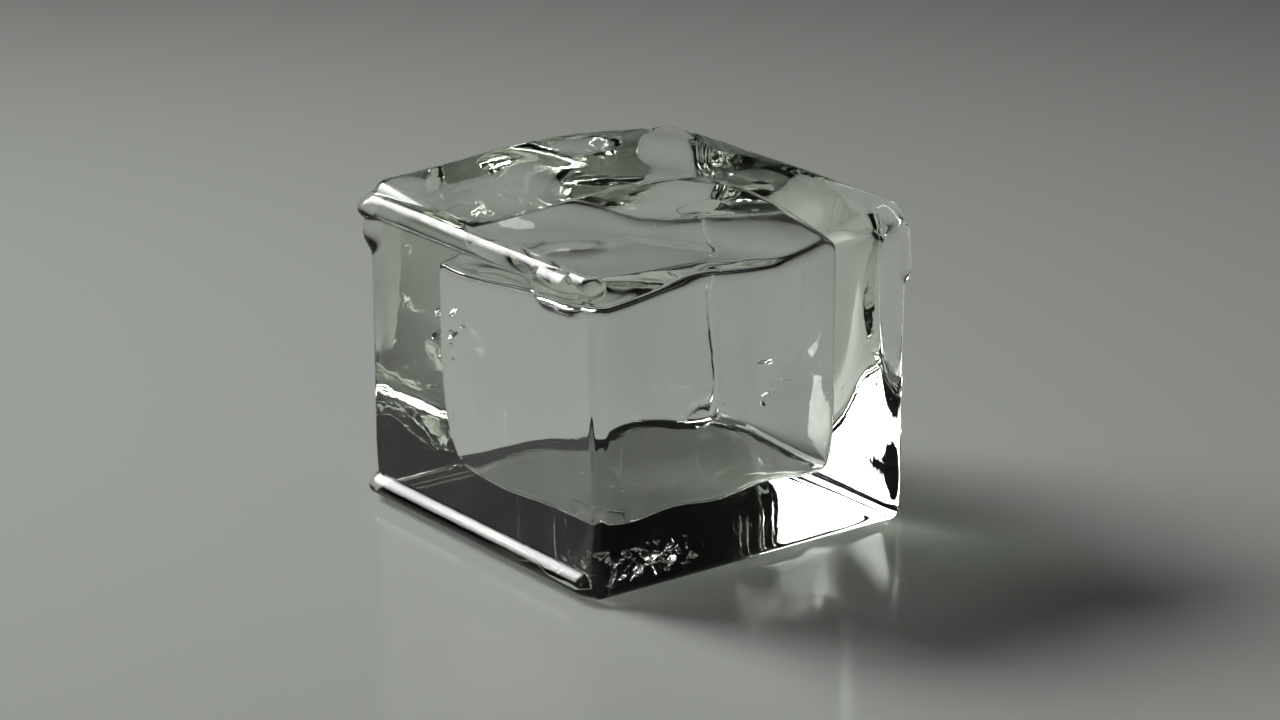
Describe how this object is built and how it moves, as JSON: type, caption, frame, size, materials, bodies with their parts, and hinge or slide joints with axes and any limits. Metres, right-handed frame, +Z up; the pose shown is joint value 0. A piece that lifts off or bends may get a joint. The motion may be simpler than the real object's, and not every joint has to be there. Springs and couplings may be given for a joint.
{
  "type": "ice cube",
  "caption": "Clear square ice cube, part melted, with flat upright faces, beads of melt along its rims, a wavy top and a flat underside to rest on.",
  "frame": {"origin": "middle of the bounding box's underside, on the surface that the cube rests on", "axes": "+Z up, X and Y square to the upright faces, with the corner nearest the viewer at -X -Y"},
  "size_m": [0.052, 0.052, 0.0451],
  "materials": {
    "ice": "clear ice with a wet, melted gloss and a faint green tint in its depth"
  },
  "bodies": {
    "root": {"ice_cube": "ice"}
  },
  "joints": []
}
